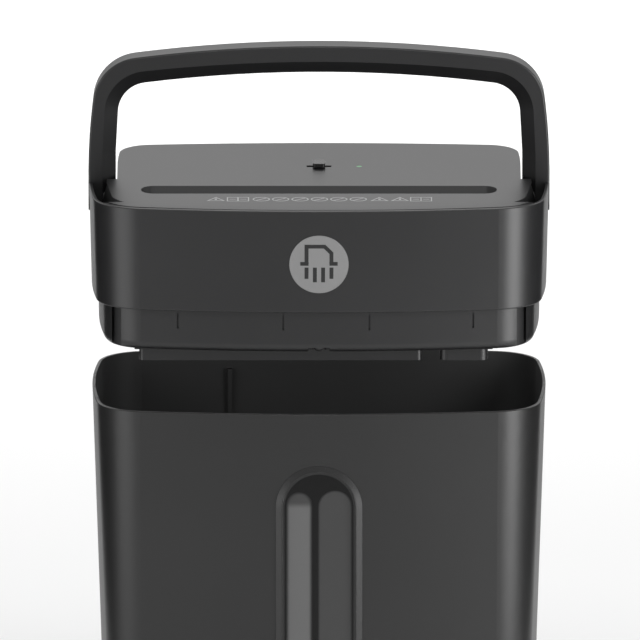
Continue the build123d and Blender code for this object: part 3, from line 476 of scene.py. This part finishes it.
# %% Dress the working parts
FINISHES = {
    bin_black: ["bin_shell"],
    shell_black: ["head_shell", "deck_cover"],
    casing_black: ["lower_casing", "exit_skirt"],
    handle_black: ["carry_handle"],
    bezel_gloss: ["window_bezel", "mode_slider"],
    pane_gloss: ["window_pane"],
    badge_grey: ["front_emblem"],
    trim_black: ["interlock_plunger", "paper_sensor", "switch_body", "interlock_switch"],
    soft_rubber: ["cord_gland"],
    light_green: ["status_light"],
    tool_steel: ["front_cutter_shaft", "rear_cutter_shaft", "front_cutter_discs", "rear_cutter_discs",
                 "final_gear", "front_sync_gear", "rear_sync_gear", "motor_rotor"],
    plated_steel: ["left_side_plate", "gear_plate", "tie_rods", "handle_pins", "gear_axles",
                   "plunger_spring", "housing_screws"],
    motor_steel: ["motor_can"],
    bronze: ["cutter_bushes", "motor_pinion"],
    milky_nylon: ["first_reduction_gear", "second_reduction_gear"],
    black_nylon: ["motor_end_bell", "cooling_fan", "motor_cradle", "front_stripper_comb",
                  "rear_stripper_comb"],
    green_board: ["control_board"],
    relay_blue: ["board_parts", "thermal_cutout"],
}


def dress(node, finish):
    """Puts a finish in every material slot of a working part."""
    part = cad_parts[node]
    if not part.material_slots:
        part.data.materials.append(finish)
    for held in part.material_slots:
        held.link = "OBJECT"
        held.material = finish


dressed = []
for finish, nodes in FINISHES.items():
    for node in nodes:
        dress(node, finish)
        dressed.append(node)
undressed = sorted(set(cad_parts) - set(dressed))
print("dressed", len(dressed), "parts, left over:", undressed)

# %% [markdown]
# ## Laying flat marks on a curved moulding
# Print follows the surface that it is on. Each mark is drawn as a flat band, and every corner of the band
# is then dropped onto the moulding along a ray, so the mark hugs the slope of the deck or the bow of the
# front without any hand fitting.

# %% Helpers for marks
def on_part(node, start, way):
    """The point where a ray meets a working part, and the surface's direction there."""
    hit, place, normal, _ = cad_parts[node].ray_cast(Vector(start), Vector(way))
    if not hit:
        raise RuntimeError("no surface of " + node + " under a mark")
    return place, normal


SHARPEST_MITRE = 0.35       # keeps the outer point of a sharp corner from running away


def band(path, width, closed=True):
    """Pairs of points, left and right of a flat path, for a line of that width, mitred at its corners."""
    count = len(path)
    pairs = []
    for i, point in enumerate(path):
        run_in = (point - path[i - 1]).normalized()
        run_out = (path[(i + 1) % count] - point).normalized()
        if not closed and i == 0:
            run_in = run_out
        if not closed and i == count - 1:
            run_out = run_in
        along = (run_in + run_out).normalized()
        side = Vector((-along.y, along.x))
        stretch = 1.0 / max(SHARPEST_MITRE, abs(side.dot(Vector((-run_in.y, run_in.x)))))
        reach = side * width / 2 * stretch
        pairs.append((point - reach, point + reach))
    return pairs


def link_piece(name, mesh, finish, body):
    """Makes the object, gives it its finish and its body, and returns it."""
    piece = bpy.data.objects.new(name, mesh)
    bpy.context.scene.collection.objects.link(piece)
    mesh.materials.append(finish)
    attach(piece, body)
    return piece


def loop_line(path, width):
    """A closed line: its pairs, and whether it closes."""
    return band(path, width), True


def open_line(path, width):
    """A line with two ends."""
    return band(path, width, closed=False), False


def print_marks(name, lines, place, thick, finish, body):
    """One thin raised mesh from several lines. place(u, v) gives a point and a normal on the part."""
    net = bmesh.new()
    for pairs, closed in lines:
        rows = []
        for pair in pairs:
            section = []
            for flat in pair:
                point, normal = place(flat.x, flat.y)
                section.append(net.verts.new(point + normal * thick))
                section.append(net.verts.new(point - normal * thick * 0.5))
            rows.append(section)
        steps = len(rows) if closed else len(rows) - 1
        for i in range(steps):
            a, b = rows[i], rows[(i + 1) % len(rows)]
            for p, q in ((0, 2), (2, 3), (3, 1), (1, 0)):
                net.faces.new((a[p], a[q], b[q], b[p]))
        if not closed:
            net.faces.new([rows[0][k] for k in (0, 1, 3, 2)])
            net.faces.new([rows[-1][k] for k in (0, 2, 3, 1)])
    bmesh.ops.recalc_face_normals(net, faces=net.faces)
    mesh = bpy.data.meshes.new(name)
    net.to_mesh(mesh)
    net.free()
    return link_piece(name, mesh, finish, body)


def ring(u, v, half_u, half_v, steps=40):
    """An oval path round (u, v)."""
    turns = [2 * math.pi * k / steps for k in range(steps)]
    return [Vector((u + half_u * math.cos(t), v + half_v * math.sin(t))) for t in turns]


def corners(*points):
    """A path from its corners."""
    return [Vector(point) for point in points]


print("mark helpers ready")

# %% [markdown]
# ## The row of marks in front of the slot
# Shredders carry a row of small care symbols on the deck. Here the row is plain geometry without meaning:
# triangles, cards and rounds with a bar, drawn in fine grey lines. They could be a picture laid on the
# deck, but thin raised lines stay sharp from any distance and need no picture file.

# %% Deck marks
MARK_LINE = 0.75 * MM
MARK_HIGH = 0.05 * MM
ROW_Y = -64.0 * MM
MARK_HALF_Y = 4.6 * MM
MARK_HALF_X = 5.2 * MM
CARD_HALF_X = 3.3 * MM
ROUND_COUNT = 6
ROUND_START = -37.2 * MM
ROUND_STEP = 12.5 * MM
ABOVE = 20 * MM             # how far over the deck the search for its surface starts


def deck_point(u, v):
    """The point of the deck below (u, v), found from above."""
    return on_part("deck_cover", (u, v, deck_high[2] + ABOVE), (0.0, 0.0, -1.0))


def triangle_mark(x):
    """A triangle with a short thick stem inside."""
    foot = ROW_Y - MARK_HALF_Y * 0.8
    outline = corners((x - MARK_HALF_X, foot), (x + MARK_HALF_X, foot), (x, ROW_Y + MARK_HALF_Y))
    stem = corners((x, ROW_Y - MARK_HALF_Y * 0.3), (x, ROW_Y + MARK_HALF_Y * 0.35))
    return [loop_line(outline, MARK_LINE), open_line(stem, MARK_LINE * 2)]


def card_mark(x):
    """An upright card with a rule across it."""
    left, right = x - CARD_HALF_X, x + CARD_HALF_X
    low, high = ROW_Y - MARK_HALF_Y, ROW_Y + MARK_HALF_Y
    outline = corners((left, low), (right, low), (right, high), (left, high))
    rule = corners((x - CARD_HALF_X * 0.6, ROW_Y), (x + CARD_HALF_X * 0.6, ROW_Y))
    return [loop_line(outline, MARK_LINE), open_line(rule, MARK_LINE)]


def round_mark(x):
    """An oval with a bar across it."""
    reach_x, reach_y = MARK_HALF_X * 0.62, MARK_HALF_Y * 0.62
    bar = corners((x - reach_x, ROW_Y - reach_y), (x + reach_x, ROW_Y + reach_y))
    return [loop_line(ring(x, ROW_Y, MARK_HALF_X, MARK_HALF_Y), MARK_LINE), open_line(bar, MARK_LINE)]


row = [(triangle_mark, -66.5 * MM), (card_mark, -55.7 * MM), (card_mark, -48.7 * MM)]
row += [(round_mark, ROUND_START + ROUND_STEP * k) for k in range(ROUND_COUNT)]
row += [(triangle_mark, 39.0 * MM), (triangle_mark, 52.2 * MM)]
row += [(card_mark, 62.4 * MM), (card_mark, 69.2 * MM)]
row_lines = []
for kind, x in row:
    row_lines += kind(x)
deck_marks = print_marks("deck_marks", row_lines, deck_point, MARK_HIGH, mark_grey, "head")
print("deck marks:", len(row), "symbols,", len(deck_marks.data.polygons), "faces")

# %% [markdown]
# ## The badge
# The round badge on the front shows what the machine does: a page whose lower half falls apart in strips.
# It is our own drawing. It could be cut through the disc, but the strokes are too fine for that to show
# any depth. They are raised a hair above the silver ink in the shell's black, so the badge reads as a
# silver disc with the drawing left open in it.

# %% Badge drawing
badge_x = (emblem_low[0] + emblem_high[0]) / 2
badge_z = (emblem_low[2] + emblem_high[2]) / 2
badge_r = (emblem_high[0] - emblem_low[0]) / 2
STROKE = badge_r * 0.13
STROKE_HIGH = 0.06 * MM
PAGE_HALF = badge_r * 0.42
PAGE_TOP = badge_r * 0.62
PAGE_LOW = badge_r * 0.02
STRIPS = {-1.0: 0.5, -0.33: 0.62, 0.33: 0.62, 1.0: 0.5}     # place across the page, and length
IN_FRONT = 50 * MM          # how far in front the search for the surface starts


def badge_point(u, v):
    """The point of the badge behind (u, v), found from the front."""
    return on_part("front_emblem", (badge_x + u, front_y - IN_FRONT, badge_z + v), (0.0, 1.0, 0.0))


def badge_lines():
    """A page with one corner cut off, a cutting line, and four strips below it."""
    half = PAGE_HALF
    page = corners((-half, PAGE_LOW), (-half, PAGE_TOP), (half * 0.45, PAGE_TOP),
                   (half, PAGE_TOP - half * 0.55), (half, PAGE_LOW))
    cut = corners((-half * 1.5, PAGE_LOW), (half * 1.5, PAGE_LOW))
    lines = [open_line(page, STROKE), open_line(cut, STROKE)]
    for across, length in STRIPS.items():
        strip = corners((across * half, PAGE_LOW - STROKE), (across * half, -badge_r * length))
        lines.append(open_line(strip, STROKE))
    return lines


badge_drawing = print_marks("badge_drawing", badge_lines(), badge_point, STROKE_HIGH, shell_black, "head")
print("badge radius", round(badge_r / MM, 1), "mm")

# %% [markdown]
# ## The bead in the window's step
# Where the bezel steps down to the pane, the mould leaves a small round bead. It is too small to see as a
# shape, but being round it always catches some light, so it draws a bright line round the window. A round
# section swept along the step is enough.

# %% Window bead
BEAD = 0.35 * MM
BEAD_HALF = 23.8 * MM           # half the width of the loop that the bead's middle follows
BEAD_SIDES = 10
BEND_STEPS = 28
STRAIGHT_STEPS = 24
bezel_half = (bezel_high[0] - bezel_low[0]) / 2


def stadium_path(half, upper, lower):
    """A long round-ended loop, with its two round ends centred at the heights upper and lower."""
    path = []
    for centre, far, start, side in ((upper, lower, 0.0, -half), (lower, upper, math.pi, half)):
        for k in range(BEND_STEPS + 1):
            turn = start + math.pi * k / BEND_STEPS
            path.append(Vector((half * math.cos(turn), centre + half * math.sin(turn))))
        for k in range(1, STRAIGHT_STEPS):
            path.append(Vector((side, centre + (far - centre) * k / STRAIGHT_STEPS)))
    return path


def round_bead(name, path, place, radius, finish, body):
    """A closed round bead that follows a path laid on a part."""
    net = bmesh.new()
    rings = []
    points = [place(flat.x, flat.y) for flat in path]
    count = len(points)
    for i, (point, normal) in enumerate(points):
        along = (points[(i + 1) % count][0] - points[i - 1][0]).normalized()
        across = along.cross(normal).normalized()
        lift = across.cross(along).normalized()
        section = []
        for k in range(BEAD_SIDES):
            turn = 2 * math.pi * k / BEAD_SIDES
            out = across * math.cos(turn) + lift * math.sin(turn)
            section.append(net.verts.new(point + out * radius))
        rings.append(section)
    for i in range(count):
        a, b = rings[i], rings[(i + 1) % count]
        for k in range(BEAD_SIDES):
            after = (k + 1) % BEAD_SIDES
            face = net.faces.new((a[k], a[after], b[after], b[k]))
            face.smooth = True
    bmesh.ops.recalc_face_normals(net, faces=net.faces)
    mesh = bpy.data.meshes.new(name)
    net.to_mesh(mesh)
    net.free()
    return link_piece(name, mesh, finish, body)


def bezel_point(u, v):
    """The point of the bezel behind (u, v), found from the front."""
    return on_part("window_bezel", (u, bin_low[1] - IN_FRONT, v), (0.0, 1.0, 0.0))


bead_path = stadium_path(BEAD_HALF, bezel_high[2] - bezel_half, bezel_low[2] + bezel_half)
window_bead = round_bead("window_bead", bead_path, bezel_point, BEAD, bezel_gloss, "bin")
print("bead of", round(2 * BEAD / MM, 2), "mm round the window")

# %% [markdown]
# ## The studio
# A pale floor runs far back, because at this low angle the camera only ever sees floor behind the machine.
# A floor and an even white world alone would already light it, and would make the plastic look flat and
# milky, so they only set the base level here.

# %% Floor and world
def plain(name, level):
    """A paper-like studio surface with a faint mottle."""
    skin = Finish(name)
    mottle = skin.noise(3.0, detail=2.0)
    skin.set(
        Base_Color=skin.blend(mottle, grey(level * 0.99), grey(level)),
        Roughness=0.8,
        Specular_IOR_Level=0.0,
    )
    return skin.material


def sheet_of(name, points, finish):
    """One flat studio card from its corners."""
    mesh = bpy.data.meshes.new(name)
    mesh.from_pydata([Vector(point) for point in points], [], [list(range(len(points)))])
    mesh.materials.append(finish)
    card = bpy.data.objects.new(name, mesh)
    bpy.context.scene.collection.objects.link(card)
    return card


FAR = 30.0
SKY_STRENGTH = 0.53
floor_corners = [(-FAR, -FAR, 0), (FAR, -FAR, 0), (FAR, FAR, 0), (-FAR, FAR, 0)]
sheet_of("studio_floor", floor_corners, plain("floor_paper", 0.86))

world = bpy.data.worlds.new("studio_world")
world.use_nodes = True
sky = world.node_tree.nodes["Background"]
sky.inputs["Color"].default_value = (1.0, 1.0, 1.0, 1.0)
sky.inputs["Strength"].default_value = SKY_STRENGTH
bpy.context.scene.world = world
bpy.context.scene.view_settings.view_transform = "Standard"
print("floor and world ready")

# %% [markdown]
# ## Panels and cards
# Black plastic shows nothing but reflections, so it is lit by what it mirrors: wide soft panels draw pale
# bands on the corners, and dark cards at the sides give the corners their black edges. A point lamp would
# only leave a small spot. The camera doesn't see the panels or the cards, and the cards show in
# reflections alone.

# %% Light panels and dark cards
def panel(name, place, aim, size, power):
    """A soft light panel that faces a point."""
    light = bpy.data.lights.new(name, "AREA")
    light.shape = "RECTANGLE"
    light.size, light.size_y = size
    light.energy = power
    lamp = bpy.data.objects.new(name, light)
    bpy.context.scene.collection.objects.link(lamp)
    lamp.location = place
    lamp.rotation_euler = (Vector(aim) - Vector(place)).to_track_quat("-Z", "Y").to_euler()
    lamp.visible_camera = False


SIDE_PANEL_HEIGHT = 0.45


def side_panel(name, turn, distance, size, power):
    """An upright panel at an angle from the front, positive to the right, facing the machine's axis."""
    angle = math.radians(turn)
    place = (distance * math.sin(angle), -distance * math.cos(angle), SIDE_PANEL_HEIGHT)
    panel(name, place, (0, 0, SIDE_PANEL_HEIGHT), size, power)


def hidden_card(name, near, far, finish):
    """An upright card on the floor between two places, which shows in reflections alone."""
    points = [(*near, 0.0), (*far, 0.0), (*far, CARD_HEIGHT), (*near, CARD_HEIGHT)]
    card = sheet_of(name, points, finish)
    card.visible_camera = False
    card.visible_diffuse = False
    card.visible_shadow = False


side_panel("right_panel", 53, 0.9, (0.4, 0.9), 9.0)
side_panel("right_wash", 36, 1.2, (0.5, 0.9), 0.1)
side_panel("left_wash", -54, 1.0, (0.6, 0.9), 4.2)
panel("top_strip", (0.0, -1.1, 1.5), (0, 0, 0.3), (0.6, 0.2), 5.0)
panel("back_panel", (0.0, 4.2, 1.5), (0, 0, 0.4), (5.0, 1.6), 6.0)
panel("floor_wash", (0.0, 4.5, 3.0), (0.0, 5.5, 0.0), (6.0, 6.0), 260.0)

CARD_HEIGHT = 0.46
CARD_NEAR = (0.44, -0.02)       # where both cards of a side meet, beside the machine
CARD_FAR = (1.1, 3.4)           # one runs back from there
WING_FAR = (1.6, -0.3)          # and the other out to the side
card_black = plain("card_black", 0.01)
for side, label in ((-1, "left"), (1, "right")):
    for kind, (x, y) in (("card", CARD_FAR), ("wing", WING_FAR)):
        hidden_card(label + "_dark_" + kind, (side * CARD_NEAR[0], CARD_NEAR[1]), (side * x, y), card_black)
